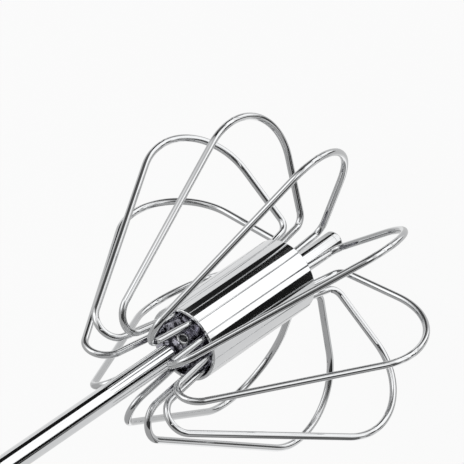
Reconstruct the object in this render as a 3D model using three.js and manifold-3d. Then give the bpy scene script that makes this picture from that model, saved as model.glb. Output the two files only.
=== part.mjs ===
// Push-down rotary egg beater. Pressing the handle drives a twisted strip through a nut on the shaft,
// which spins a head of ten bent wire loops, and a spring lifts the handle again.
// Millimetres, +Z up with the handle on top. The origin is the centre of the flat foot at the shaft's tip.

import * as THREE from "three";
import { mergeVertices } from "three/addons/utils/BufferGeometryUtils.js";
import Module from "manifold-3d";

// ---- Driving dimensions ----

const GAP = 0.3; // between pieces that touch or slide on each other
const CHAMFER = 0.4; // on the edges of turned pieces

// shaft
const SHAFT_RADIUS = 2.5;
const SHAFT_BORE_RADIUS = 2.05;
const SHAFT_TOP = 182.3;
const FOOT_RADIUS = 1.7;
const TIP_HEIGHT = 1.7;
const TIP_SPIGOT_LENGTH = 7.3;

// sleeve that holds the wires round the shaft
const SLEEVE_RADIUS = 8.75;
const SLEEVE_WALL = 0.8;
const SLEEVE_BOTTOM = 18.3;
const SLEEVE_TOP = 53.4;
const SLEEVE_CHAMFER = 0.15;

// wire loops: corners of a rounded triangle, as distance from the axis and height
const WIRE_COUNT = 10;
const WIRE_RADIUS = 0.8;
const WIRE_LEG_RADIUS = SLEEVE_RADIUS - SLEEVE_WALL - GAP - WIRE_RADIUS;
const WIRE_END_GAP = 2;
const NEAR_CORNER = { out: 10.5, height: 77, bend: 4.4 };
const APEX_CORNER = { out: 50.6, height: 8, bend: 14.9 };
const FAR_CORNER = { out: 8.6, height: 8.8, bend: 3 };
const RIM_BEND = 10;
// how far each hand-bent loop leans round from its own slot, in degrees
const APEX_LEAN = [0, -1.5, -2, -4.5, -6, 0, -6, -4, -1.5, 0];
// how far each loop's near bend lies below its place, along its long side
const NEAR_DROP = [0, 0, 0, 0.5, -1, 4, -1.5, -1.5, 0, 0];

// slotted cores inside the sleeve; the upper one has a boss that stands out round the shaft
const CORE_RADIUS = SLEEVE_RADIUS - SLEEVE_WALL - GAP;
const CORE_HEIGHT = 7.5;
const UPPER_CORE_BOTTOM = 44.4;
const LOWER_CORE_BOTTOM = 19.5;
const BOSS_RADIUS = 4;
const BOSS_TOP = 57.6;
// rolled pins through the shaft, with their angle round it in degrees; the lower one lies between two wires
const BOSS_PIN = { radius: 1.5, bore: 0.85, halfLength: BOSS_RADIUS + 0.2, height: 55.5, angle: -10 };
const LOWER_PIN = {
  radius: 1.1,
  bore: 0.55,
  halfLength: CORE_RADIUS - GAP,
  height: 23.3,
  angle: -180 / WIRE_COUNT,
};

// handle
const HANDLE_RADIUS = 10;
const HANDLE_WALL = 0.8;
const HANDLE_BOTTOM = 168.6;
const HANDLE_TOP = 283;
const COLLAR_BOTTOM = 165;
const COLLAR_TOP = 179.8;
const COLLAR_RADIUS = 11;
const COLLAR_BEND = 2.5; // of its rounded lower edge
const BUSH_NOSE_RADIUS = 5.3;
const BUSH_BORE_RADIUS = 2.85;
const BUSH_BOTTOM = 165.6;
const BUSH_TOP = 178.3;
const CAP_SPIGOT_BOTTOM = 268;
const CAP_TOP = 292;
const CAP_RADIUS = 10.6;
const CAP_BEND = 3.4; // of its rounded upper edge
const LOOP_TOP = 304.8;
const LOOP_LEG_BOTTOM = 285.4;
const LOOP_HALF_WIDTH = 5.5;
const LOOP_WIRE_RADIUS = 1;

// drive
const STRIP_WIDTH = 3.4;
const STRIP_THICKNESS = 0.9;
const STRIP_BOTTOM = 172;
const STRIP_TWIST_TOP = 262;
const STRIP_TOP = 281;
const STRIP_LEAD = 32; // height of one full turn, right-handed
const STRIP_PIN_RADIUS = 0.75;
const STRIP_PIN_HEIGHT = 275;
const NUT_RADIUS = 4.6;
const NUT_TOP = 190;
const NUT_SOCKET_DEPTH = 4;
const WASHER_RADIUS = 5.8;
const WASHER_THICKNESS = 1.2;
const SPRING_RADIUS = 5.6;
const SPRING_WIRE_RADIUS = 0.5;
const SPRING_TURNS = 12;

// ---- Materials ----

function finish(color, metalness, roughness) {
  return new THREE.MeshStandardMaterial({ color, metalness, roughness });
}

const POLISHED_STEEL = finish(0xd9dadd, 1, 0.1);
const WIRE_STEEL = finish(0xcfd1d4, 1, 0.15);
const CORE_METAL = finish(0x4b4d52, 0.8, 0.45);
const PLAIN_STEEL = finish(0xb4b6ba, 1, 0.3);
const BLACK_PLASTIC = finish(0x17181a, 0, 0.4);
const BUSH_PLASTIC = finish(0xe8e6df, 0, 0.5);

// ---- Shape helpers ----

const wasm = await Module();
wasm.setup();

// A closed geometry as a solid that can be cut: one shared vertex at each place, and no triangle of no area.
function toSolid(geometry) {
  const bare = geometry.clone();
  bare.deleteAttribute("normal");
  bare.deleteAttribute("uv");
  const merged = mergeVertices(bare, 1e-4);
  const corners = merged.index.array;
  const triVerts = [];
  for (let i = 0; i < corners.length; i += 3) {
    const [a, b, c] = corners.subarray(i, i + 3);
    if (a !== b && b !== c && c !== a) triVerts.push(a, b, c);
  }
  const vertProperties = new Float32Array(merged.attributes.position.array);
  const mesh = new wasm.Mesh({ numProp: 3, vertProperties, triVerts: new Uint32Array(triVerts) });
  return new wasm.Manifold(mesh);
}

function toGeometry(solid) {
  const { vertProperties, triVerts } = solid.getMesh();
  const geometry = new THREE.BufferGeometry();
  geometry.setAttribute("position", new THREE.BufferAttribute(vertProperties, 3));
  geometry.setIndex(new THREE.BufferAttribute(triVerts, 1));
  geometry.computeVertexNormals();
  return geometry;
}

function cut(body, ...cutters) {
  return toGeometry(cutters.reduce((solid, cutter) => solid.subtract(toSolid(cutter)), toSolid(body)));
}

// A body of revolution about Z. The profile, [radius, height] pairs, runs upward on its outer side.
function turned(profile, sides = 32) {
  const points = profile.map(([radius, height]) => new THREE.Vector2(radius, height));
  return new THREE.LatheGeometry(points, sides).rotateX(Math.PI / 2);
}

// A tube on the axis. Its two outer edges have a chamfer, if one is given.
function turnedRing(inner, outer, bottom, top, sides = 32, chamfer = 0) {
  const start = [outer - chamfer, bottom];
  const outside = chamfer
    ? [start, [outer, bottom + chamfer], [outer, top - chamfer], [outer - chamfer, top]]
    : [start, [outer, top]];
  return turned([...outside, [inner, top], [inner, bottom], start], sides);
}

// Profile points round an edge, from one direction to another in degrees: -90 is down, 0 outward and 90 up.
function roundedEdge(centreRadius, centreHeight, bend, from, to, steps) {
  const points = [];
  for (let i = 0; i <= steps; i++) {
    const angle = THREE.MathUtils.degToRad(from + ((to - from) * i) / steps);
    points.push([centreRadius + bend * Math.cos(angle), centreHeight + bend * Math.sin(angle)]);
  }
  return points;
}

// A round bar from one height to another, standing on the point (x, y).
function upright(radius, bottom, top, x = 0, y = 0, sides = 24) {
  return new THREE.CylinderGeometry(radius, radius, top - bottom, sides)
    .rotateX(Math.PI / 2)
    .translate(x, y, (bottom + top) / 2);
}

// A round bar lying through the axis at a height, turned by an angle from +X.
function crossbar(radius, halfLength, height, angle, sides = 12) {
  return new THREE.CylinderGeometry(radius, radius, 2 * halfLength, sides)
    .rotateZ(Math.PI / 2)
    .rotateZ(angle)
    .translate(0, 0, height);
}

// A flat bar twisted about the axis up to the height where its twist ends, and straight above it.
function twistedBar(width, thickness, bottom, top) {
  const stepsPerTurn = 30;
  const steps = Math.ceil(((top - bottom) / STRIP_LEAD) * stepsPerTurn);
  const bar = new THREE.BoxGeometry(width, thickness, top - bottom, 1, 1, steps);
  bar.translate(0, 0, (bottom + top) / 2);
  const place = bar.attributes.position;
  const point = new THREE.Vector3();
  for (let i = 0; i < place.count; i++) {
    point.fromBufferAttribute(place, i);
    const twist = (2 * Math.PI * Math.min(point.z - STRIP_TWIST_TOP, 0)) / STRIP_LEAD;
    point.applyAxisAngle(new THREE.Vector3(0, 0, 1), twist);
    place.setXYZ(i, point.x, point.y, point.z);
  }
  return bar;
}

// A route with a ring of the section at each of its own stations, so straight runs need only their ends.
class StationCurve extends THREE.Curve {
  constructor(stations) {
    super();
    this.stations = stations;
  }
  station(u) {
    return this.stations[Math.round(u * (this.stations.length - 1))];
  }
  getPointAt(u, target = new THREE.Vector3()) {
    return target.copy(this.station(u).point);
  }
  getTangentAt(u, target = new THREE.Vector3()) {
    return target.copy(this.station(u).tangent);
  }
}

// Stations along straight runs between corners, with an arc of its bend radius at each corner.
function roundedRoute(corners, degreesPerStation = 20) {
  const stations = [];
  const direction = (from, to) => to.clone().sub(from).normalize();
  stations.push({ point: corners[0].at, tangent: direction(corners[0].at, corners[1].at) });
  for (let i = 1; i < corners.length - 1; i++) {
    const { at, bend } = corners[i];
    const before = direction(corners[i - 1].at, at);
    const after = direction(at, corners[i + 1].at);
    const turn = before.angleTo(after);
    const start = at.clone().addScaledVector(before, -bend * Math.tan(turn / 2));
    const inward = after.clone().addScaledVector(before, -after.dot(before)).normalize();
    const centre = start.clone().addScaledVector(inward, bend);
    const steps = Math.max(1, Math.ceil(THREE.MathUtils.radToDeg(turn) / degreesPerStation));
    for (let step = 0; step <= steps; step++) {
      const angle = (turn * step) / steps;
      stations.push({
        point: centre
          .clone()
          .addScaledVector(inward, -bend * Math.cos(angle))
          .addScaledVector(before, bend * Math.sin(angle)),
        tangent: before.clone().multiplyScalar(Math.cos(angle)).addScaledVector(inward, Math.sin(angle)),
      });
    }
  }
  const last = corners.length - 1;
  stations.push({ point: corners[last].at, tangent: direction(corners[last - 1].at, corners[last].at) });
  return stations;
}

function roundWire(stations, radius, sides) {
  const section = new THREE.Shape();
  for (let i = 0; i < sides; i++) {
    const angle = (2 * Math.PI * i) / sides;
    const place = [radius * Math.cos(angle), radius * Math.sin(angle)];
    if (i === 0) section.moveTo(...place);
    else section.lineTo(...place);
  }
  section.closePath();
  return new THREE.ExtrudeGeometry(section, {
    steps: stations.length - 1,
    extrudePath: new StationCurve(stations),
  });
}

const polar = (out, angle, height) => new THREE.Vector3(out * Math.cos(angle), out * Math.sin(angle), height);

// ---- The assembly ----

const eggBeater = new THREE.Group();

function add(name, geometry, material) {
  const mesh = new THREE.Mesh(geometry, material);
  mesh.name = name;
  eggBeater.add(mesh);
}

// ---- Whisk head ----

function shaftTube() {
  const tube = turnedRing(SHAFT_BORE_RADIUS, SHAFT_RADIUS, TIP_HEIGHT + GAP, SHAFT_TOP, 24);
  return cut(tube, pinHole(BOSS_PIN), pinHole(LOWER_PIN));
}

function shaftTip() {
  const bend = SHAFT_RADIUS - FOOT_RADIUS;
  const spigotRadius = SHAFT_BORE_RADIUS - GAP;
  return turned([
    [0, 0],
    ...roundedEdge(FOOT_RADIUS, bend, bend, -90, 0, 3),
    [SHAFT_RADIUS, TIP_HEIGHT],
    [spigotRadius, TIP_HEIGHT],
    [spigotRadius, TIP_HEIGHT + TIP_SPIGOT_LENGTH],
    [0, TIP_HEIGHT + TIP_SPIGOT_LENGTH],
  ], 24);
}

function pinHole({ radius, height, angle }) {
  return crossbar(radius + GAP, CORE_RADIUS + 1, height, THREE.MathUtils.degToRad(angle));
}

function rolledPin({ radius, bore, halfLength, height, angle }) {
  const turn = THREE.MathUtils.degToRad(angle);
  return cut(crossbar(radius, halfLength, height, turn, 16), crossbar(bore, halfLength + 1, height, turn));
}

// A block on the shaft with a slot down its side for each wire, and a boss up to bossTop if it has one.
function slottedCore(bottom, pin, bossTop) {
  const bore = SHAFT_RADIUS + GAP;
  const top = bottom + CORE_HEIGHT;
  const boss = [
    [BOSS_RADIUS, top],
    [BOSS_RADIUS, bossTop - CHAMFER],
    [BOSS_RADIUS - CHAMFER, bossTop],
    [bore, bossTop],
  ];
  const block = turned([
    [CORE_RADIUS - CHAMFER, bottom],
    [CORE_RADIUS, bottom + CHAMFER],
    [CORE_RADIUS, top - CHAMFER],
    [CORE_RADIUS - CHAMFER, top],
    ...(bossTop ? boss : [[bore, top]]),
    [bore, bottom],
    [CORE_RADIUS - CHAMFER, bottom],
  ], 40);
  const slotFloor = WIRE_LEG_RADIUS - WIRE_RADIUS - GAP;
  const slotWidth = 2 * (WIRE_RADIUS + GAP);
  const slotDepth = CORE_RADIUS - slotFloor + 1;
  const slots = [];
  for (let i = 0; i < WIRE_COUNT; i++) {
    slots.push(
      new THREE.BoxGeometry(slotDepth, slotWidth, CORE_HEIGHT + 2)
        .translate(slotFloor + slotDepth / 2, 0, (bottom + top) / 2)
        .rotateZ((2 * Math.PI * i) / WIRE_COUNT)
    );
  }
  return cut(block, ...slots, pinHole(pin));
}

// One loop: up one leg, round the near bend, down the long side to the apex, back in and up the other leg.
function wireLoop(index) {
  const angle = (2 * Math.PI * index) / WIRE_COUNT;
  const apexAngle = angle + THREE.MathUtils.degToRad(APEX_LEAN[index]);
  const middle = (SLEEVE_TOP + SLEEVE_BOTTOM) / 2;
  const drop = NEAR_DROP[index];
  const slope = (APEX_CORNER.out - NEAR_CORNER.out) / (NEAR_CORNER.height - APEX_CORNER.height);
  const near = {
    out: NEAR_CORNER.out + drop * slope,
    height: NEAR_CORNER.height - drop,
    bend: NEAR_CORNER.bend,
  };
  const corner = ({ out, height, bend }, around) => ({ at: polar(out, around, height), bend });
  return roundWire(
    roundedRoute([
      { at: polar(WIRE_LEG_RADIUS, angle, middle + WIRE_END_GAP / 2) },
      { at: polar(WIRE_LEG_RADIUS, angle, SLEEVE_TOP), bend: RIM_BEND },
      corner(near, angle),
      corner(APEX_CORNER, apexAngle),
      corner(FAR_CORNER, angle),
      { at: polar(WIRE_LEG_RADIUS, angle, SLEEVE_BOTTOM), bend: RIM_BEND },
      { at: polar(WIRE_LEG_RADIUS, angle, middle - WIRE_END_GAP / 2) },
    ]),
    WIRE_RADIUS,
    8
  );
}

add("shaft_tube", shaftTube(), POLISHED_STEEL);
add("shaft_tip", shaftTip(), POLISHED_STEEL);
add(
  "head_sleeve",
  turnedRing(SLEEVE_RADIUS - SLEEVE_WALL, SLEEVE_RADIUS, SLEEVE_BOTTOM, SLEEVE_TOP, 40, SLEEVE_CHAMFER),
  POLISHED_STEEL
);
add("upper_core", slottedCore(UPPER_CORE_BOTTOM, BOSS_PIN, BOSS_TOP), CORE_METAL);
add("lower_core", slottedCore(LOWER_CORE_BOTTOM, LOWER_PIN), CORE_METAL);
add("boss_pin", rolledPin(BOSS_PIN), PLAIN_STEEL);
add("lower_core_pin", rolledPin(LOWER_PIN), PLAIN_STEEL);
for (let i = 0; i < WIRE_COUNT; i++) {
  add(`wire_${String(i + 1).padStart(2, "0")}`, wireLoop(i), WIRE_STEEL);
}

// ---- Drive ----

// The nut stands on the guide bush at rest. The shaft's top end sits in its socket.
function driveNut() {
  const bottom = BUSH_TOP + GAP;
  const socketTop = bottom + NUT_SOCKET_DEPTH;
  const body = turned([
    [0, bottom],
    [NUT_RADIUS, bottom],
    [NUT_RADIUS, NUT_TOP - CHAMFER],
    [NUT_RADIUS - CHAMFER, NUT_TOP],
    [0, NUT_TOP],
  ], 24);
  return cut(
    body,
    upright(SHAFT_RADIUS + GAP, bottom - 1, socketTop),
    twistedBar(STRIP_WIDTH + 2 * GAP, STRIP_THICKNESS + 2 * GAP, socketTop - 1, NUT_TOP + 1)
  );
}

// The strip is flat where it enters the cap, and a pin holds it there.
function twistStrip() {
  const strip = twistedBar(STRIP_WIDTH, STRIP_THICKNESS, STRIP_BOTTOM, STRIP_TOP);
  return cut(strip, crossbar(STRIP_PIN_RADIUS + GAP, STRIP_THICKNESS, STRIP_PIN_HEIGHT, Math.PI / 2));
}

// Each end of the spring has one turn wound nearly flat.
function returnSpring() {
  const bottom = NUT_TOP + GAP + WASHER_THICKNESS + GAP + SPRING_WIRE_RADIUS;
  const top = CAP_SPIGOT_BOTTOM - GAP - SPRING_WIRE_RADIUS;
  const flatRise = 2 * SPRING_WIRE_RADIUS + GAP;
  const stationsPerTurn = 12;
  const count = SPRING_TURNS * stationsPerTurn;
  const heightAt = (turns) => {
    if (turns <= 1) return bottom + flatRise * turns;
    if (turns >= SPRING_TURNS - 1) return top - flatRise * (SPRING_TURNS - turns);
    return bottom + flatRise + ((top - bottom - 2 * flatRise) * (turns - 1)) / (SPRING_TURNS - 2);
  };
  const pointAt = (turns) => polar(SPRING_RADIUS, 2 * Math.PI * turns, heightAt(turns));
  const stations = [];
  for (let i = 0; i <= count; i++) {
    const before = pointAt(Math.max(i - 0.5, 0) / stationsPerTurn);
    const after = pointAt(Math.min(i + 0.5, count) / stationsPerTurn);
    stations.push({ point: pointAt(i / stationsPerTurn), tangent: after.sub(before).normalize() });
  }
  return roundWire(stations, SPRING_WIRE_RADIUS, 6);
}

add("drive_nut", driveNut(), PLAIN_STEEL);
add(
  "thrust_washer",
  turnedRing(SHAFT_RADIUS, WASHER_RADIUS, NUT_TOP + GAP, NUT_TOP + GAP + WASHER_THICKNESS, 24),
  PLAIN_STEEL
);
add("return_spring", returnSpring(), PLAIN_STEEL);
add("twist_strip", twistStrip(), PLAIN_STEEL);
add(
  "strip_pin",
  crossbar(STRIP_PIN_RADIUS, HANDLE_RADIUS - HANDLE_WALL - 3 * GAP, STRIP_PIN_HEIGHT, Math.PI / 2),
  PLAIN_STEEL
);

// ---- Handle ----

// The collar closes the tube's lower end round the bush's nose.
function lowerCollar() {
  const shoulder = HANDLE_BOTTOM - 2 * GAP;
  const edge = roundedEdge(COLLAR_RADIUS - COLLAR_BEND, COLLAR_BOTTOM + COLLAR_BEND, COLLAR_BEND, -90, 0, 4);
  return turned([
    ...edge,
    [COLLAR_RADIUS, COLLAR_TOP - CHAMFER],
    [COLLAR_RADIUS - CHAMFER, COLLAR_TOP],
    [HANDLE_RADIUS + GAP, COLLAR_TOP],
    [HANDLE_RADIUS + GAP, shoulder],
    [BUSH_NOSE_RADIUS + GAP, shoulder],
    [BUSH_NOSE_RADIUS + GAP, COLLAR_BOTTOM],
    edge[0],
  ], 40);
}

// The shaft slides and turns in the bush, and the nut lands on its top face.
function guideBush() {
  const flange = HANDLE_BOTTOM - GAP;
  const bodyRadius = HANDLE_RADIUS - HANDLE_WALL - GAP;
  return turned([
    [BUSH_NOSE_RADIUS, BUSH_BOTTOM],
    [BUSH_NOSE_RADIUS, flange],
    [bodyRadius, flange],
    [bodyRadius, BUSH_TOP],
    [BUSH_BORE_RADIUS, BUSH_TOP],
    [BUSH_BORE_RADIUS, BUSH_BOTTOM],
    [BUSH_NOSE_RADIUS, BUSH_BOTTOM],
  ], 32);
}

// A plug in the tube's upper end, with a slot for the strip, a hole for its pin and two for the loop's legs.
function endCap() {
  const spigotRadius = HANDLE_RADIUS - HANDLE_WALL - GAP;
  const flange = HANDLE_TOP + GAP;
  const plug = turned([
    [0, CAP_SPIGOT_BOTTOM],
    [spigotRadius, CAP_SPIGOT_BOTTOM],
    [spigotRadius, flange],
    [CAP_RADIUS - CHAMFER, flange],
    [CAP_RADIUS, flange + CHAMFER],
    ...roundedEdge(CAP_RADIUS - CAP_BEND, CAP_TOP - CAP_BEND, CAP_BEND, 0, 90, 5),
    [0, CAP_TOP],
  ], 40);
  const legHole = (side) =>
    upright(LOOP_WIRE_RADIUS + GAP, LOOP_LEG_BOTTOM - GAP, CAP_TOP + 1, side * LOOP_HALF_WIDTH, 0, 16);
  return cut(
    plug,
    twistedBar(STRIP_WIDTH + 2 * GAP, STRIP_THICKNESS + 2 * GAP, CAP_SPIGOT_BOTTOM - 1, STRIP_TOP + GAP),
    crossbar(STRIP_PIN_RADIUS + GAP, HANDLE_RADIUS, STRIP_PIN_HEIGHT, Math.PI / 2),
    legHole(-1),
    legHole(1)
  );
}

function hangingLoop() {
  const top = LOOP_TOP - LOOP_WIRE_RADIUS;
  const at = (side, height) => new THREE.Vector3(side * LOOP_HALF_WIDTH, 0, height);
  const bend = LOOP_HALF_WIDTH - 0.01; // a hair of straight wire stays between the two bends
  return roundWire(
    roundedRoute([
      { at: at(-1, LOOP_LEG_BOTTOM) },
      { at: at(-1, top), bend },
      { at: at(1, top), bend },
      { at: at(1, LOOP_LEG_BOTTOM) },
    ], 15),
    LOOP_WIRE_RADIUS,
    10
  );
}

add(
  "handle_tube",
  turnedRing(HANDLE_RADIUS - HANDLE_WALL, HANDLE_RADIUS, HANDLE_BOTTOM, HANDLE_TOP, 40),
  POLISHED_STEEL
);
add("lower_collar", lowerCollar(), BLACK_PLASTIC);
add("guide_bush", guideBush(), BUSH_PLASTIC);
add("end_cap", endCap(), BLACK_PLASTIC);
add("hanging_loop", hangingLoop(), PLAIN_STEEL);

export default eggBeater;
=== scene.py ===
"""Looks of the push-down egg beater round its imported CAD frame.

Row frame: +Z up, origin at the tip's flat foot. Unless a comment says otherwise, sizes are in
millimetres, as in the CAD source, and MM turns them into Blender's metres.
"""

import math
from collections import namedtuple

import bpy
from mathutils import Matrix, Vector


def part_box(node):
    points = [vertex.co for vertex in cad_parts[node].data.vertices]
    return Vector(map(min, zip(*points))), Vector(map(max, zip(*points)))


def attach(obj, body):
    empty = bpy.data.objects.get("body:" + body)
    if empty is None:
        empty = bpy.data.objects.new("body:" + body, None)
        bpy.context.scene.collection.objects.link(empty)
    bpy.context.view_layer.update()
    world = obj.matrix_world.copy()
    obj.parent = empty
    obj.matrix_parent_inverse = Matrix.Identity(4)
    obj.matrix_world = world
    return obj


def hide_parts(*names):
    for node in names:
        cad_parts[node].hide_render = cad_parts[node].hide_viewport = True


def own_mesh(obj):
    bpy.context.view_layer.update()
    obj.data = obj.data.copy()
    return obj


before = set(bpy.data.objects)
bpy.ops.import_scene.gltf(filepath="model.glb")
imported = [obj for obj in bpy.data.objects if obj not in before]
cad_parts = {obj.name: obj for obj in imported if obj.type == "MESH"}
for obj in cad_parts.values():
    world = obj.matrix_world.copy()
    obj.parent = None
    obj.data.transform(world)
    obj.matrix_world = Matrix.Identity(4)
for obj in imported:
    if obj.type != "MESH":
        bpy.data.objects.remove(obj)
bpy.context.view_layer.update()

MM = 0.001


def span(node):
    """Lowest and highest point of a CAD node, in millimetres."""
    low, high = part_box(node)
    return low.z / MM, high.z / MM


def radius_of(node):
    """Radius of a round CAD node that stands on the axis, in millimetres."""
    low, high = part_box(node)
    return (high.x - low.x) / 2 / MM


# ---- Driving dimensions ----

CLOSE_FIT = 0.04  # between pieces that are pressed together
RUNNING_FIT = 0.08  # between pieces that move on each other
JOINT_LINE = 0.1  # gap that shows between two pieces of the handle

# bend radii of the edges of turned pieces
CRISP_EDGE = 0.04
FINE_EDGE = 0.12
SMALL_EDGE = 0.2
SOFT_EDGE = 0.3
FULL_EDGE = 0.4

TUBE_WALL = 0.8  # of the sleeve and of the handle

# shaft and sleeve
SHAFT_RADIUS = radius_of("shaft_tube")
SHAFT_WALL = 0.45
SHAFT_BORE_RADIUS = SHAFT_RADIUS - SHAFT_WALL
TIP_SEAM = 1.85  # height of the joint between the tip and the tube
SEAM_GAP = 0.03
TIP_BEND = 0.8
SLEEVE_RADIUS = radius_of("head_sleeve")
SLEEVE_BORE_RADIUS = SLEEVE_RADIUS - TUBE_WALL
SLEEVE_BOTTOM, SLEEVE_TOP = span("head_sleeve")

# wire loops: corners of a rounded triangle, as distance from the axis, height and bend radius
WIRE_COUNT = 10
WIRE_RADIUS = 0.8
WIRE_LEG_RADIUS = 6.85
WIRE_END_GAP = 2  # between a loop's two ends, inside the sleeve
NEAR_CORNER = (10.5, 77, 4.4)
APEX_CORNER = (50.6, 8, 14.9)
FAR_CORNER = (8.6, 8.8, 3)
RIM_BEND = 10  # where a leg leaves the sleeve
APEX_LEAN = [0, -1.5, -2, -4.5, -6, 0, -6, -4, -1.5, 0]  # degrees, one for each loop
NEAR_DROP = [0, 0, 0, 0.5, -1, 4, -1.5, -1.5, 0, 0]  # down the long side, one for each loop

# slotted cores and the rolled pins that hold them on the shaft
CORE_HEIGHT = 7.5
BOSS_RADIUS = 4
Pin = namedtuple("Pin", "radius bore half_length height angle edge")  # its angle is round the axis
BOSS_PIN = Pin(1.5, 0.85, BOSS_RADIUS + 0.2, 55.5, math.radians(-10), 0.42)
LOWER_PIN = Pin(1.1, 0.55, 7.35, 23.3, -math.pi / WIRE_COUNT, 0.15)
HOLE_MARGIN = 0.4  # between a pin's hole in the shaft and the ring of vertices below or above it

# drive
NUT_SOCKET_DEPTH = 4
STRIP_WIDTH = 3.4
STRIP_THICKNESS = 0.9
STRIP_PLAY = 0.3  # in the nut's slot
STRIP_LEAD = 32  # length of one full twist
STRIP_TWIST_TOP = 262  # height where the twist ends
STRIP_PIN_HEIGHT = 275
STRIP_PIN_RADIUS = 0.75
SPRING_TURNS = 12
SPRING_WIRE_RADIUS = 0.5
SPRING_END_GAP = 0.3  # between its first two and its last two turns

# handle
HANDLE_RADIUS = radius_of("handle_tube")
HANDLE_BORE_RADIUS = HANDLE_RADIUS - TUBE_WALL
HANDLE_BOTTOM, HANDLE_TOP = span("handle_tube")
BUSH_NOSE_RADIUS = 5.56
FLANGE_DROP = 0.4  # of the bush's flange below the tube's lower end
COLLAR_BEND = 2.5
CAP_BEND = 3.4
LOOP_WIRE_RADIUS = 1
LOOP_HALF_WIDTH = 5.5

# ---- Camera ----

AIM = Vector((15.25, 8.52, 32.66)) * MM
DISTANCE = 0.83  # metres
AZIMUTH = math.radians(63.99)
ELEVATION = math.radians(40.8)
ROLL = math.radians(123.58)
LENS = 297.2
SENSOR_WIDTH = 36


def make_camera():
    data = bpy.data.cameras.new("camera")
    data.lens = LENS
    data.sensor_width = SENSOR_WIDTH
    data.clip_start = 0.01
    data.clip_end = 100
    camera = bpy.data.objects.new("camera", data)
    bpy.context.scene.collection.objects.link(camera)
    back = Vector((
        math.sin(AZIMUTH) * math.cos(ELEVATION),
        -math.cos(AZIMUTH) * math.cos(ELEVATION),
        math.sin(ELEVATION),
    ))
    level_right = Vector((math.cos(AZIMUTH), math.sin(AZIMUTH), 0))
    level_up = back.cross(level_right)
    up = math.cos(ROLL) * level_up + math.sin(ROLL) * level_right
    right = up.cross(back)
    turn = Matrix((right, up, back)).transposed()
    camera.matrix_world = Matrix.Translation(AIM + back * DISTANCE) @ turn.to_4x4()
    bpy.context.scene.camera = camera


make_camera()

# ---- Mesh helpers ----


def make_object(name, vertices, faces, normals=None, sharp_angle=None):
    """A smooth-shaded mesh object from vertices in millimetres."""
    mesh = bpy.data.meshes.new(name)
    mesh.from_pydata([Vector(v) * MM for v in vertices], [], faces)
    mesh.shade_smooth()
    if sharp_angle is not None:
        mesh.set_sharp_from_angle(angle=math.radians(sharp_angle))
    if normals is not None:
        mesh.normals_split_custom_set_from_vertices(normals)
    obj = bpy.data.objects.new(name, mesh)
    bpy.context.scene.collection.objects.link(obj)
    return obj


def polar(out, angle, height):
    return Vector((out * math.cos(angle), out * math.sin(angle), height))


def outward(way):
    """The normal of an outline that runs this way, in the plane of radius and height."""
    return Vector((way.y, -way.x))


def round_profile(corners, closed, degrees_per_step):
    """(place, normal) along an outline with corners (radius, height, bend).

    A corner with no bend is a single point.
    """
    places = [Vector(corner[:2]) for corner in corners]
    outline = []
    for i, corner in enumerate(corners):
        before = (places[i] - places[i - 1]).normalized()
        after = (places[(i + 1) % len(places)] - places[i]).normalized()
        if not closed and i == 0:
            before = after
        if not closed and i == len(places) - 1:
            after = before
        if len(corner) == 2:
            outline.append((places[i], (outward(before) + outward(after)).normalized()))
            continue
        bend = corner[2]
        turn = math.acos(max(-1, min(1, before.dot(after))))
        side = math.copysign(1, before.x * after.y - before.y * after.x)
        start = places[i] - before * bend * math.tan(turn / 2)
        centre = start - side * bend * outward(before)
        steps = math.ceil(math.degrees(turn) / degrees_per_step)
        for step in range(steps + 1):
            normal = Matrix.Rotation(side * turn * step / steps, 2) @ outward(before)
            outline.append((centre + side * bend * normal, normal))
    return outline


def lathe(name, corners, closed=True, sides=96, degrees_per_step=15):
    """A body turned about the axis.

    The outline runs upward on its outer side, and closes on itself or has both ends on the axis.
    """
    vertices = []
    normals = []
    rings = []
    for place, normal in round_profile(corners, closed, degrees_per_step):
        count = 1 if place.x < 1e-6 else sides
        rings.append(range(len(vertices), len(vertices) + count))
        for i in range(count):
            angle = 2 * math.pi * i / sides
            vertices.append(polar(place.x, angle, place.y))
            normals.append(polar(normal.x, angle, normal.y))
    following = rings[1:]
    if closed:
        following.append(rings[0])
    faces = []
    for low, high in zip(rings, following):
        for i in range(sides):
            j = (i + 1) % sides
            face = [low[i % len(low)], low[j % len(low)], high[j % len(high)], high[i % len(high)]]
            faces.append(list(dict.fromkeys(face)))
    return make_object(name, vertices, faces, normals)


def rounded_route(corners, degrees_per_step=4):
    """(point, tangent) stations along straight runs, with an arc of its bend radius at each corner."""
    stations = [(corners[0][0], (corners[1][0] - corners[0][0]).normalized())]
    for i in range(1, len(corners) - 1):
        at, bend = corners[i]
        before = (at - corners[i - 1][0]).normalized()
        after = (corners[i + 1][0] - at).normalized()
        turn = before.angle(after)
        start = at - before * bend * math.tan(turn / 2)
        inward = (after - before * after.dot(before)).normalized()
        centre = start + inward * bend
        steps = max(2, math.ceil(math.degrees(turn) / degrees_per_step))
        for step in range(steps + 1):
            angle = turn * step / steps
            point = centre - inward * bend * math.cos(angle) + before * bend * math.sin(angle)
            stations.append((point, before * math.cos(angle) + inward * math.sin(angle)))
    stations.append((corners[-1][0], (corners[-1][0] - corners[-2][0]).normalized()))
    return stations


def joined_rings(rings):
    """Faces of a bar from its rings of vertices, with both ends closed."""
    faces = [list(reversed(rings[0])), list(rings[-1])]
    for low, high in zip(rings, rings[1:]):
        for i in range(len(low)):
            j = (i + 1) % len(low)
            faces.append([low[i], low[j], high[j], high[i]])
    return faces


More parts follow.
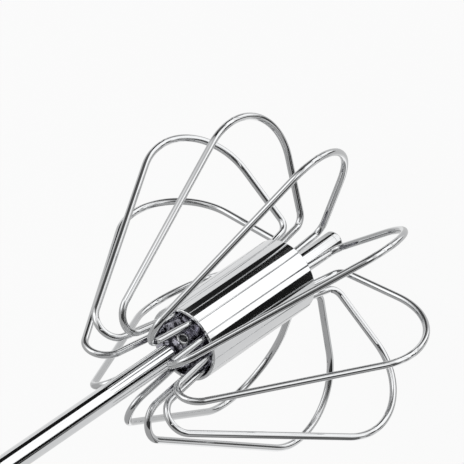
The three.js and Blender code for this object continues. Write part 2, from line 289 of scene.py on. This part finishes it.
def wire(name, stations, radius, sides=24):
    """A round wire along (point, tangent) stations, with flat ends."""
    previous = stations[0][1]
    across = previous.orthogonal().normalized()
    vertices = []
    rings = []
    for point, tangent in stations:
        across = previous.rotation_difference(tangent) @ across
        across = (across - tangent * across.dot(tangent)).normalized()
        other = tangent.cross(across)
        rings.append(range(len(vertices), len(vertices) + sides))
        for i in range(sides):
            angle = 2 * math.pi * i / sides
            vertices.append(point + radius * (across * math.cos(angle) + other * math.sin(angle)))
        previous = tangent
    return make_object(name, vertices, joined_rings(rings), sharp_angle=60)


def box_between(low, high):
    """Vertices and faces of a block."""
    vertices = [(x, y, z) for z in (low[2], high[2]) for y in (low[1], high[1]) for x in (low[0], high[0])]
    faces = [(0, 2, 3, 1), (4, 5, 7, 6), (0, 1, 5, 4), (2, 6, 7, 3), (0, 4, 6, 2), (1, 3, 7, 5)]
    return vertices, faces


def crossbar(name, radius, half_length, height, angle, bore=0, edge=FINE_EDGE):
    """A round bar, or a tube if it has a bore, lying through the axis at a height."""
    outline = [(radius, -half_length, edge), (radius, half_length, edge)]
    if bore:
        outline += [(bore, half_length, edge / 2), (bore, -half_length, edge / 2)]
    else:
        outline = [(0, -half_length), *outline, (0, half_length)]
    bar = lathe(name, outline, closed=bool(bore), sides=32)
    bar.data.transform(Matrix.Rotation(math.pi / 2, 4, "Y"))
    bar.data.transform(Matrix.Rotation(angle, 4, "Z"))
    bar.data.transform(Matrix.Translation((0, 0, height * MM)))
    return bar


def twisted_bar(name, width, thickness, bottom, top, steps_per_turn=72):
    """A flat bar that twists about the axis up to where the strip's twist ends, and is straight above it."""
    x = width / 2
    y = thickness / 2
    edge = FINE_EDGE
    section = [
        (x - edge, -y), (x, -y + edge), (x, y - edge), (x - edge, y),
        (-x + edge, y), (-x, y - edge), (-x, -y + edge), (-x + edge, -y),
    ]
    steps = math.ceil((top - bottom) / STRIP_LEAD * steps_per_turn)
    vertices = []
    rings = []
    for step in range(steps + 1):
        height = bottom + (top - bottom) * step / steps
        twist = 2 * math.pi * min(height - STRIP_TWIST_TOP, 0) / STRIP_LEAD
        rings.append(range(len(vertices), len(vertices) + len(section)))
        for across, through in section:
            vertices.append((
                across * math.cos(twist) - through * math.sin(twist),
                across * math.sin(twist) + through * math.cos(twist),
                height,
            ))
    return make_object(name, vertices, joined_rings(rings), sharp_angle=30)


def carve(obj, cutters, bevel, bevel_angle=35):
    """Cuts the cutters out of obj, breaks its sharp edges, and leaves the result as its mesh."""
    for cutter in cutters:
        boolean = obj.modifiers.new("cut", "BOOLEAN")
        boolean.operation = "DIFFERENCE"
        boolean.solver = "EXACT"
        boolean.object = cutter
    edge = obj.modifiers.new("edge", "BEVEL")
    edge.width = bevel * MM
    edge.segments = 2
    edge.limit_method = "ANGLE"
    edge.angle_limit = math.radians(bevel_angle)
    weighted = obj.modifiers.new("normals", "WEIGHTED_NORMAL")
    weighted.keep_sharp = True
    bpy.context.view_layer.update()
    evaluated = obj.evaluated_get(bpy.context.evaluated_depsgraph_get())
    carved = bpy.data.meshes.new_from_object(evaluated)
    obj.modifiers.clear()
    obj.data = carved
    for cutter in cutters:
        bpy.data.objects.remove(cutter)


# ---- Materials ----


class Nodes:
    """Short forms for building a node tree. Noise scales are per metre."""

    def __init__(self, tree):
        self.tree = tree

    def add(self, kind, inputs=None, **settings):
        node = self.tree.nodes.new(kind)
        for key, value in settings.items():
            setattr(node, key, value)
        for key, value in (inputs or {}).items():
            if isinstance(value, bpy.types.NodeSocket):
                self.tree.links.new(value, node.inputs[key])
            else:
                node.inputs[key].default_value = value
        return node

    def noise(self, place, scale, detail=2, roughness=0.5):
        made = self.add("ShaderNodeTexNoise", {
            "Vector": place, "Scale": scale, "Detail": detail, "Roughness": roughness,
        })
        return made.outputs["Fac"]

    def spread(self, value, low, high, from_low=0.3, from_high=0.7):
        """Spreads the middle of a noise over low to high."""
        made = self.add("ShaderNodeMapRange", {
            "Value": value, "From Min": from_low, "From Max": from_high, "To Min": low, "To Max": high,
        })
        return made.outputs["Result"]

    def stretched(self, place, scale):
        made = self.add("ShaderNodeMapping", {"Vector": place, "Scale": scale})
        return made.outputs["Vector"]

    def blend_colours(self, share, first, second):
        """Sockets 6 and 7 are the colours that a mix node takes, and socket 2 is the one that it gives."""
        made = self.add("ShaderNodeMix", {0: share, 6: first, 7: second}, data_type="RGBA")
        return made.outputs[2]

    def bump(self, height, strength, distance, normal=None):
        inputs = {"Height": height, "Strength": strength, "Distance": distance}
        if normal is not None:
            inputs["Normal"] = normal
        return self.add("ShaderNodeBump", inputs).outputs["Normal"]


def new_material(name):
    """A material with its nodes, its shader and the place on the object, in metres."""
    material = bpy.data.materials.new(name)
    material.use_nodes = True
    nodes = Nodes(material.node_tree)
    shader = material.node_tree.nodes["Principled BSDF"]
    place = nodes.add("ShaderNodeTexCoord").outputs["Object"]
    return material, nodes, shader, place


def connect(nodes, shader, colour, roughness, surface):
    nodes.tree.links.new(colour, shader.inputs["Base Color"])
    nodes.tree.links.new(roughness, shader.inputs["Roughness"])
    nodes.tree.links.new(surface, shader.inputs["Normal"])


def grey(value, tint=0.0):
    """A near-neutral colour, bluer for a positive tint."""
    return (value * (1 - tint), value, value * (1 + tint), 1)


def steel(name, shade, smooth, rough, grain, line_depth, tint=0.008):
    """Bright steel with drawing lines, which follow the long way of grain, and faint wipe marks."""
    material, nodes, shader, place = new_material(name)
    shader.inputs["Metallic"].default_value = 1
    lines = nodes.noise(nodes.stretched(place, grain), 1, detail=3, roughness=0.6)
    wipes = nodes.noise(place, 90, detail=4, roughness=0.65)
    specks = nodes.noise(place, 2600, detail=1)
    colour = nodes.blend_colours(nodes.spread(wipes, 0, 1), grey(shade, tint), grey(shade * 0.94, tint * 1.6))
    roughness = nodes.spread(wipes, smooth, rough, from_low=0.35, from_high=0.75)
    surface = nodes.bump(lines, strength=0.35, distance=line_depth * MM)
    surface = nodes.bump(specks, strength=0.12, distance=line_depth * MM, normal=surface)
    connect(nodes, shader, colour, roughness, surface)
    return material


# Painted shade: near-black colour for the low spots of the core's bump patches.
HOLLOW_PAINTED_SHADE = (0.028, 0.026, 0.035, 1)
# Painted reflection: pale purplish grey for the high spots of the core's bump patches, in place of mottled
# reflections.
PATCH_PAINTED_REFLECTION = (0.76, 0.75, 0.84, 1)


def cast_metal(name):
    """Dull grey sintered metal with a grainy skin, whose colour holds painted shade in the hollows of its
    bump patches and painted mottled reflections on their high spots.
    """
    material, nodes, shader, place = new_material(name)
    shader.inputs["Metallic"].default_value = 1
    grain = nodes.noise(place, 1500, detail=5, roughness=0.65)
    patches = nodes.noise(place, 620, detail=3, roughness=0.55)
    share = nodes.spread(patches, 0, 1, from_low=0.46, from_high=0.6)
    # Painted shade and painted reflection: the patches that bump the skin also darken its hollows and pale
    # its highs.
    colour = nodes.blend_colours(share, HOLLOW_PAINTED_SHADE, PATCH_PAINTED_REFLECTION)
    roughness = nodes.spread(grain, 0.2, 0.45)
    surface = nodes.bump(patches, strength=1, distance=0.4 * MM)
    surface = nodes.bump(grain, strength=0.5, distance=0.06 * MM, normal=surface)
    connect(nodes, shader, colour, roughness, surface)
    return material


def moulded_plastic(name, dark, light, gloss, dull):
    """Moulded plastic with a fine spark-eroded texture and handling marks in its gloss."""
    material, nodes, shader, place = new_material(name)
    shader.inputs["IOR"].default_value = 1.49
    texture = nodes.noise(place, 3200, detail=2, roughness=0.6)
    wear = nodes.noise(place, 130, detail=5, roughness=0.7)
    colour = nodes.blend_colours(nodes.spread(wear, 0, 1), dark, light)
    roughness = nodes.spread(wear, gloss, dull)
    surface = nodes.bump(texture, strength=0.35, distance=0.03 * MM)
    connect(nodes, shader, colour, roughness, surface)
    return material


UPRIGHT_GRAIN = (1800, 1800, 14)
EVEN_GRAIN = (700, 700, 700)
MATERIALS = {
    "polished_steel": steel(
        "polished_steel", shade=0.82, smooth=0.025, rough=0.07, grain=UPRIGHT_GRAIN, line_depth=0.0012
    ),
    "wire_steel": steel(
        "wire_steel", shade=0.76, smooth=0.03, rough=0.09, grain=EVEN_GRAIN, line_depth=0.0015
    ),
    "plain_steel": steel(
        "plain_steel", shade=0.75, smooth=0.3, rough=0.45, grain=EVEN_GRAIN, line_depth=0.006
    ),
    "core_metal": cast_metal("core_metal"),
    "black_plastic": moulded_plastic(
        "black_plastic", dark=grey(0.012), light=grey(0.022), gloss=0.28, dull=0.46
    ),
    "bush_plastic": moulded_plastic(
        "bush_plastic", dark=grey(0.74, -0.03), light=grey(0.8, -0.02), gloss=0.35, dull=0.5
    ),
}


def place_piece(obj, body, slot, *nodes):
    """Gives a piece its material, and sets it on its body in place of its CAD nodes."""
    obj.data.materials.clear()
    obj.data.materials.append(MATERIALS[slot])
    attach(obj, body)
    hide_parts(*nodes)


# ---- Whisk head ----


def build_shaft():
    """The tube has rings of vertices just outside its pin holes, which leave its long faces whole."""
    _, top = span("shaft_tube")
    bottom = TIP_SEAM + SEAM_GAP
    rings = []
    pin_holes = []
    for pin in (LOWER_PIN, BOSS_PIN):
        reach = pin.radius + HOLE_MARGIN
        rings += [pin.height - reach, pin.height + reach]
        pin_holes.append(
            crossbar("pin_cutter", pin.radius + CLOSE_FIT, SHAFT_RADIUS + 1, pin.height, pin.angle)
        )
    tube = lathe("shaft_tube_skin", [
        (SHAFT_RADIUS, bottom, CRISP_EDGE),
        *((SHAFT_RADIUS, height) for height in rings),
        (SHAFT_RADIUS, top, FINE_EDGE),
        (SHAFT_BORE_RADIUS, top, FINE_EDGE),
        *((SHAFT_BORE_RADIUS, height) for height in reversed(rings)),
        (SHAFT_BORE_RADIUS, bottom, CRISP_EDGE),
    ])
    carve(tube, pin_holes, CRISP_EDGE, bevel_angle=60)
    place_piece(tube, "rotor", "polished_steel", "shaft_tube")


def build_tip():
    _, spigot_top = span("shaft_tip")
    spigot = SHAFT_BORE_RADIUS - CLOSE_FIT
    tip = lathe("shaft_tip_skin", [
        (0, 0),
        (SHAFT_RADIUS, 0, TIP_BEND),
        (SHAFT_RADIUS, TIP_SEAM, CRISP_EDGE),
        (spigot, TIP_SEAM, CRISP_EDGE),
        (spigot, spigot_top, SOFT_EDGE),
        (0, spigot_top),
    ], closed=False, degrees_per_step=6)
    place_piece(tip, "rotor", "polished_steel", "shaft_tip")


def build_sleeve():
    sleeve = lathe("head_sleeve_skin", [
        (SLEEVE_RADIUS, SLEEVE_BOTTOM, SOFT_EDGE),
        (SLEEVE_RADIUS, SLEEVE_TOP, SOFT_EDGE),
        (SLEEVE_BORE_RADIUS, SLEEVE_TOP, SOFT_EDGE),
        (SLEEVE_BORE_RADIUS, SLEEVE_BOTTOM, SOFT_EDGE),
    ], sides=160)
    place_piece(sleeve, "rotor", "polished_steel", "head_sleeve")


def slot_cutters(bottom, top):
    """Blocks that cut a slot for each wire down the side of a core."""
    slot_floor = WIRE_LEG_RADIUS - WIRE_RADIUS - CLOSE_FIT
    half_width = WIRE_RADIUS + RUNNING_FIT
    cutters = []
    for i in range(WIRE_COUNT):
        vertices, faces = box_between(
            (slot_floor, -half_width, bottom - 1),
            (SLEEVE_RADIUS + 2, half_width, top + 1),
        )
        cutter = make_object(f"slot_cutter_{i}", vertices, faces)
        cutter.data.transform(Matrix.Rotation(2 * math.pi * i / WIRE_COUNT, 4, "Z"))
        cutters.append(cutter)
    return cutters


def build_core(node, pin, boss):
    """A slotted core. Its node is higher than the core itself where it has a boss."""
    bottom, top_of_node = span(node)
    top = bottom + CORE_HEIGHT
    outer = SLEEVE_BORE_RADIUS - CLOSE_FIT
    bore = SHAFT_RADIUS + CLOSE_FIT
    upper_side = [(bore, top, FINE_EDGE)]
    if boss:
        upper_side = [
            (BOSS_RADIUS, top, SMALL_EDGE),
            (BOSS_RADIUS, top_of_node, SOFT_EDGE),
            (bore, top_of_node, FINE_EDGE),
        ]
    core = lathe(node + "_skin", [
        (outer, bottom, SOFT_EDGE),
        (outer, top, SOFT_EDGE),
        *upper_side,
        (bore, bottom, FINE_EDGE),
    ], sides=80, degrees_per_step=30)
    pin_hole = crossbar("pin_cutter", pin.radius + CLOSE_FIT, SLEEVE_RADIUS, pin.height, pin.angle)
    carve(core, [*slot_cutters(bottom, top), pin_hole], FINE_EDGE)
    place_piece(core, "rotor", "core_metal", node)


def build_core_pin(node, pin):
    rolled = crossbar(node + "_skin", pin.radius, pin.half_length, pin.height, pin.angle, pin.bore, pin.edge)
    place_piece(rolled, "rotor", "plain_steel", node)


def build_wire_loop(index):
    """Up one leg, round the near bend, down the long side to the apex, back in and up the other leg."""
    angle = 2 * math.pi * index / WIRE_COUNT
    apex_angle = angle + math.radians(APEX_LEAN[index])
    middle = (SLEEVE_TOP + SLEEVE_BOTTOM) / 2
    drop = NEAR_DROP[index]
    slope = (APEX_CORNER[0] - NEAR_CORNER[0]) / (NEAR_CORNER[1] - APEX_CORNER[1])
    near = (NEAR_CORNER[0] + drop * slope, NEAR_CORNER[1] - drop, NEAR_CORNER[2])

    def corner(values, around):
        out, height, bend = values
        return polar(out, around, height), bend

    stations = rounded_route([
        (polar(WIRE_LEG_RADIUS, angle, middle + WIRE_END_GAP / 2), 0),
        (polar(WIRE_LEG_RADIUS, angle, SLEEVE_TOP), RIM_BEND),
        corner(near, angle),
        corner(APEX_CORNER, apex_angle),
        corner(FAR_CORNER, angle),
        (polar(WIRE_LEG_RADIUS, angle, SLEEVE_BOTTOM), RIM_BEND),
        (polar(WIRE_LEG_RADIUS, angle, middle - WIRE_END_GAP / 2), 0),
    ])
    node = f"wire_{index + 1:02d}"
    place_piece(wire(node + "_skin", stations, WIRE_RADIUS), "rotor", "wire_steel", node)


build_shaft()
build_tip()
build_sleeve()
build_core("upper_core", BOSS_PIN, boss=True)
build_core("lower_core", LOWER_PIN, boss=False)
build_core_pin("boss_pin", BOSS_PIN)
build_core_pin("lower_core_pin", LOWER_PIN)
for wire_index in range(WIRE_COUNT):
    build_wire_loop(wire_index)

# ---- Drive ----


def build_nut():
    bottom, top = span("drive_nut")
    outer = radius_of("drive_nut")
    nut = lathe("drive_nut_skin", [
        (0, bottom),
        (outer, bottom, FULL_EDGE),
        (outer, top, FULL_EDGE),
        (0, top),
    ], closed=False, sides=64, degrees_per_step=30)
    socket_radius = SHAFT_RADIUS + CLOSE_FIT
    socket_top = bottom + NUT_SOCKET_DEPTH
    socket = lathe("socket_cutter", [
        (0, bottom - 1),
        (socket_radius, bottom - 1),
        (socket_radius, socket_top, FINE_EDGE),
        (0, socket_top),
    ], closed=False, sides=64)
    slot = twisted_bar(
        "slot_cutter", STRIP_WIDTH + STRIP_PLAY, STRIP_THICKNESS + STRIP_PLAY, socket_top - 1, top + 1
    )
    carve(nut, [socket, slot], FINE_EDGE)
    place_piece(nut, "rotor", "plain_steel", "drive_nut")


def build_washer():
    bottom, top = span("thrust_washer")
    outer = radius_of("thrust_washer")
    washer = lathe("thrust_washer_skin", [
        (outer, bottom, SMALL_EDGE),
        (outer, top, SMALL_EDGE),
        (SHAFT_RADIUS, top, FINE_EDGE),
        (SHAFT_RADIUS, bottom, FINE_EDGE),
    ])
    place_piece(washer, "slider", "plain_steel", "thrust_washer")


def build_strip():
    bottom, top = span("twist_strip")
    strip = twisted_bar("twist_strip_skin", STRIP_WIDTH, STRIP_THICKNESS, bottom, top)
    hole = crossbar(
        "hole_cutter", STRIP_PIN_RADIUS + CLOSE_FIT, STRIP_WIDTH, STRIP_PIN_HEIGHT, math.pi / 2
    )
    carve(strip, [hole], CRISP_EDGE, bevel_angle=60)
    place_piece(strip, "handle", "plain_steel", "twist_strip")


def build_strip_pin():
    _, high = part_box("strip_pin")
    pin = crossbar("strip_pin_skin", STRIP_PIN_RADIUS, high.y / MM, STRIP_PIN_HEIGHT, math.pi / 2)
    place_piece(pin, "handle", "plain_steel", "strip_pin")


def build_spring():
    """The coil at rest, with close-wound end turns, on a mesh of its own; in the real whisk its turns close
    up towards the cap as the head slides in.
    """
    low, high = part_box("return_spring")
    bottom = low.z / MM + SPRING_WIRE_RADIUS
    top = high.z / MM - SPRING_WIRE_RADIUS
    out = radius_of("return_spring") - SPRING_WIRE_RADIUS
    flat_rise = 2 * SPRING_WIRE_RADIUS + SPRING_END_GAP
    steps_per_turn = 36

    def height_at(turns):
        if turns <= 1:
            return bottom + flat_rise * turns
        if turns >= SPRING_TURNS - 1:
            return top - flat_rise * (SPRING_TURNS - turns)
        return bottom + flat_rise + (top - bottom - 2 * flat_rise) * (turns - 1) / (SPRING_TURNS - 2)

    places = [
        polar(out, 2 * math.pi * i / steps_per_turn, height_at(i / steps_per_turn))
        for i in range(SPRING_TURNS * steps_per_turn + 1)
    ]
    stations = []
    for i, place in enumerate(places):
        before = places[max(i - 1, 0)]
        after = places[min(i + 1, len(places) - 1)]
        stations.append((place, (after - before).normalized()))
    spring = wire("return_spring_skin", stations, SPRING_WIRE_RADIUS, sides=12)
    place_piece(spring, "handle", "plain_steel", "return_spring")
    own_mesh(spring)


build_nut()
build_washer()
build_strip()
build_strip_pin()
build_spring()

# ---- Handle ----


def build_handle_tube():
    tube = lathe("handle_tube_skin", [
        (HANDLE_RADIUS, HANDLE_BOTTOM, SOFT_EDGE),
        (HANDLE_RADIUS, HANDLE_TOP, SOFT_EDGE),
        (HANDLE_BORE_RADIUS, HANDLE_TOP, SMALL_EDGE),
        (HANDLE_BORE_RADIUS, HANDLE_BOTTOM, SMALL_EDGE),
    ], sides=160)
    place_piece(tube, "handle", "polished_steel", "handle_tube")


def build_collar():
    bottom, top = span("lower_collar")
    outer = radius_of("lower_collar")
    grip = HANDLE_RADIUS + CLOSE_FIT
    nose_hole = BUSH_NOSE_RADIUS + CLOSE_FIT
    shoulder = HANDLE_BOTTOM - FLANGE_DROP - RUNNING_FIT
    collar = lathe("lower_collar_skin", [
        (outer, bottom, COLLAR_BEND),
        (outer, top, FULL_EDGE),
        (grip, top, FINE_EDGE),
        (grip, shoulder, SMALL_EDGE),
        (nose_hole, shoulder, SMALL_EDGE),
        (nose_hole, bottom, SOFT_EDGE),
    ], sides=128, degrees_per_step=8)
    place_piece(collar, "handle", "black_plastic", "lower_collar")


def build_bush():
    bottom, top = span("guide_bush")
    body = HANDLE_BORE_RADIUS - CLOSE_FIT
    bore = SHAFT_RADIUS + RUNNING_FIT
    flange = HANDLE_BOTTOM - FLANGE_DROP
    bush = lathe("guide_bush_skin", [
        (BUSH_NOSE_RADIUS, bottom, FULL_EDGE),
        (BUSH_NOSE_RADIUS, flange, SMALL_EDGE),
        (body, flange, SOFT_EDGE),
        (body, top, FULL_EDGE),
        (bore, top, SOFT_EDGE),
        (bore, bottom, FULL_EDGE),
    ])
    place_piece(bush, "handle", "bush_plastic", "guide_bush")


def build_cap():
    bottom, top = span("end_cap")
    outer = radius_of("end_cap")
    spigot = HANDLE_BORE_RADIUS - CLOSE_FIT
    flange = HANDLE_TOP + JOINT_LINE
    cap = lathe("end_cap_skin", [
        (0, bottom),
        (spigot, bottom, FULL_EDGE),
        (spigot, flange, FINE_EDGE),
        (outer, flange, FULL_EDGE),
        (outer, top, CAP_BEND),
        (0, top),
    ], closed=False, sides=128, degrees_per_step=6)
    leg_bottom, _ = span("hanging_loop")
    hole_radius = LOOP_WIRE_RADIUS + CLOSE_FIT
    leg_holes = []
    for side in (-1, 1):
        hole = lathe("leg_cutter", [
            (0, leg_bottom - CLOSE_FIT),
            (hole_radius, leg_bottom - CLOSE_FIT),
            (hole_radius, top + 2),
            (0, top + 2),
        ], closed=False, sides=32)
        hole.data.transform(Matrix.Translation((side * LOOP_HALF_WIDTH * MM, 0, 0)))
        leg_holes.append(hole)
    _, strip_top = span("twist_strip")
    slot = twisted_bar(
        "slot_cutter", STRIP_WIDTH + 2 * CLOSE_FIT, STRIP_THICKNESS + 2 * CLOSE_FIT, bottom - 1, strip_top
    )
    pin_hole = crossbar(
        "pin_cutter", STRIP_PIN_RADIUS + CLOSE_FIT, HANDLE_RADIUS, STRIP_PIN_HEIGHT, math.pi / 2
    )
    carve(cap, [*leg_holes, slot, pin_hole], FINE_EDGE, bevel_angle=50)
    place_piece(cap, "handle", "black_plastic", "end_cap")


def build_hanging_loop():
    bottom, top = span("hanging_loop")
    highest = top - LOOP_WIRE_RADIUS
    bend = LOOP_HALF_WIDTH - 0.01  # leaves a hair of straight wire between the two bends
    stations = rounded_route([
        (Vector((-LOOP_HALF_WIDTH, 0, bottom)), 0),
        (Vector((-LOOP_HALF_WIDTH, 0, highest)), bend),
        (Vector((LOOP_HALF_WIDTH, 0, highest)), bend),
        (Vector((LOOP_HALF_WIDTH, 0, bottom)), 0),
    ])
    place_piece(wire("hanging_loop_skin", stations, LOOP_WIRE_RADIUS), "handle", "wire_steel", "hanging_loop")


build_handle_tube()
build_collar()
build_bush()
build_cap()
build_hanging_loop()

# ---- Floor, light and surroundings ----

BACKGROUND = 0.955
FLOOR_GLOW = 0.93  # share of the floor's paleness that is its own, which keeps shadows faint
FLOOR_BRIGHTNESS = 1.0
FLOOR_TONE = 0.9  # of the share that takes light and shadow
FLOOR_SIZE = 30  # metres
FLOOR_DROP = 0.05  # below the tip
CAMERA_SIDE = math.degrees(AZIMUTH) - 90  # compass direction of the camera, from +X towards +Y

ROOM_BELOW = 0.62
ROOM_ABOVE = 0.4
HORIZON = (-12, 8)  # degrees of height over which the room turns from one into the other
WHITE = 1.35
# Cards and lamps round the object, each laid over those before it: compass range from the camera's side
# towards +Y, height range above the horizon, soft edge, all in degrees, and brightness.
CARDS = [
    (-180, -60, 0, 90, 10, 0.42),  # grey wall on the left
    (100, 180, 0, 90, 12, 0.47),  # grey wall on the right
    (-160, -110, -34, -16, 5, 1.1),  # pale wall on the left
    (-180, -50, -46, -34, 3, 0.74),  # pale floor on the left
    (88, 180, -46, -28, 3, 0.84),  # pale floor on the right
    (-50, 60, -90, -4, 4, 0.8),  # table
    (-32, 54, -46, -30, 2, WHITE),  # table, its lit middle
    (-28, 34, -28, -12, 3, WHITE),  # table, its lit far side
    (-24, 12, -4, 7, 3, WHITE),  # window low above the table
    (-4, 46, -78, -50, 4, WHITE),  # table, its lit near side
    (-60, -6, -84, -62, 5, 0.12),  # table, its part in shade
    (28, 112, 2, 62, 9, 0.8),  # lamp
    (60, 98, 16, 54, 5, 1.5),  # lamp, its core
    (30, 66, 8, 17, 3, 1.5),  # lamp, its rim
    (-58, 24, 16, 100, 5, 0.05),  # dark room behind the camera
    (-50, -26, -8, 20, 5, 0.06),  # dark room, its low corner
    (-40, 30, 68, 100, 5, 0.03),  # dark room, its ceiling
    (-1, 4, 18, 64, 1.5, 1.0),  # gap in the dark room
    (30, 100, -28, -4, 4, 0.12),  # dark card
    (30, 72, -12, -5, 2, 0.01),  # dark card, its top edge
    (88, 97, -20, -3, 2, 0.02),  # dark card, its side
    (54, 96, -39.4, -28, 0.4, 0.01),  # dark card, its middle
    (50.5, 88.5, -43, -39.4, 0.4, 0.014),  # dark card, its lower part
    (54, 88, -60, -44, 0.3, 0.2),  # dark card, its foot
    (-27, 64, -44, -41.8, 0.3, 1.1),  # strip that the tip shows: the table
    (88, 150, -44, -41.8, 0.3, 0.48),  # strip that the tip shows: the floor on the right
    (67, 89, -44, -41.8, 0.3, 0.02),  # strip that the tip shows: the dark card
    (-140, -56, -17, -3, 3, 0.15),  # dark shelf
    (-60, -46, -38, 26, 3, 0.01),  # dark post
    (-45, -20, -39.4, -34, 0.4, 0.01),  # dark post, its branch
    (-64, -30, -41.8, -39.4, 0.3, 0.01),  # dark post, its middle
    (-60, -40, -62, -44, 0.3, 0.02),  # dark post, its foot
    (-64, -27, -44, -41.8, 0.3, 0.02),  # strip that the tip shows: the dark post
    (-150, -134, -48, -42, 2, 0.02),  # dark book
    (-106, -94, -48, -42, 2, 0.02),  # dark book
    (-92, -74, -30, -24, 2, 0.02),  # dark book
    (31.8, 33.2, -46, -30, 0.6, 0.6),  # joint in the table
    (-14.5, -13.1, -46, -30, 0.6, 0.6),  # joint in the table
    (115, 118, -46, -30, 1, 0.5),  # joint in the pale floor on the right
]


def make_floor():
    material, nodes, shader, _ = new_material("floor")
    glow = nodes.add("ShaderNodeEmission", {"Color": grey(1), "Strength": FLOOR_BRIGHTNESS})
    shader.inputs["Base Color"].default_value = grey(FLOOR_TONE)
    shader.inputs["Roughness"].default_value = 1
    shader.inputs["Specular IOR Level"].default_value = 0
    output = material.node_tree.nodes["Material Output"]
    mix = nodes.add("ShaderNodeMixShader", {
        "Fac": 1 - FLOOR_GLOW, 1: glow.outputs["Emission"], 2: shader.outputs["BSDF"],
    })
    material.node_tree.links.new(mix.outputs["Shader"], output.inputs["Surface"])
    half = FLOOR_SIZE / 2 / MM
    corners = [(-half, -half, 0), (half, -half, 0), (half, half, 0), (-half, half, 0)]
    floor = make_object("floor", corners, [(0, 1, 2, 3)])
    floor.data.materials.append(material)
    floor.location.z = -FLOOR_DROP * MM
    floor.visible_glossy = False


def make_world():
    """Cards and lamps by direction for reflections and light, and a plain pale background for the camera."""
    world = bpy.data.worlds.new("studio")
    bpy.context.scene.world = world
    world.use_nodes = True
    nodes = Nodes(world.node_tree)

    def math_node(operation, *values):
        return nodes.add("ShaderNodeMath", dict(enumerate(values)), operation=operation).outputs[0]

    def ramp(value, start, end):
        made = nodes.add("ShaderNodeMapRange", {"Value": value, "From Min": start, "From Max": end})
        return made.outputs["Result"]

    def window(value, start, end, soft):
        rise = ramp(value, start - soft / 2, start + soft / 2)
        fall = ramp(value, end + soft / 2, end - soft / 2)
        return math_node("MINIMUM", rise, fall)

    way = nodes.add("ShaderNodeTexCoord").outputs["Generated"]
    parts = nodes.add("ShaderNodeSeparateXYZ", {"Vector": way}).outputs
    compass = math_node("ADD", math_node("ARCTAN2", parts["Y"], parts["X"]), math.radians(-CAMERA_SIDE))
    compass = math_node("DEGREES", math_node("WRAP", compass, math.pi, -math.pi))
    height = math_node("DEGREES", math_node("ARCSINE", parts["Z"]))
    light = nodes.blend_colours(ramp(height, *HORIZON), grey(ROOM_BELOW), grey(ROOM_ABOVE))
    for left, right, bottom, top, soft, brightness in CARDS:
        cover = math_node("MULTIPLY", window(compass, left, right, soft), window(height, bottom, top, soft))
        light = nodes.blend_colours(cover, light, grey(brightness))
    lit = nodes.add("ShaderNodeBackground", {"Color": light, "Strength": 1})
    plain = nodes.add("ShaderNodeBackground", {"Color": grey(BACKGROUND), "Strength": 1})
    seen = nodes.add("ShaderNodeLightPath").outputs["Is Camera Ray"]
    mix = nodes.add("ShaderNodeMixShader", {"Fac": seen, 1: lit.outputs[0], 2: plain.outputs[0]})
    output = world.node_tree.nodes.get("World Output") or nodes.add("ShaderNodeOutputWorld")
    world.node_tree.links.new(mix.outputs[0], output.inputs["Surface"])


make_floor()
make_world()
bpy.context.scene.view_settings.view_transform = "Standard"
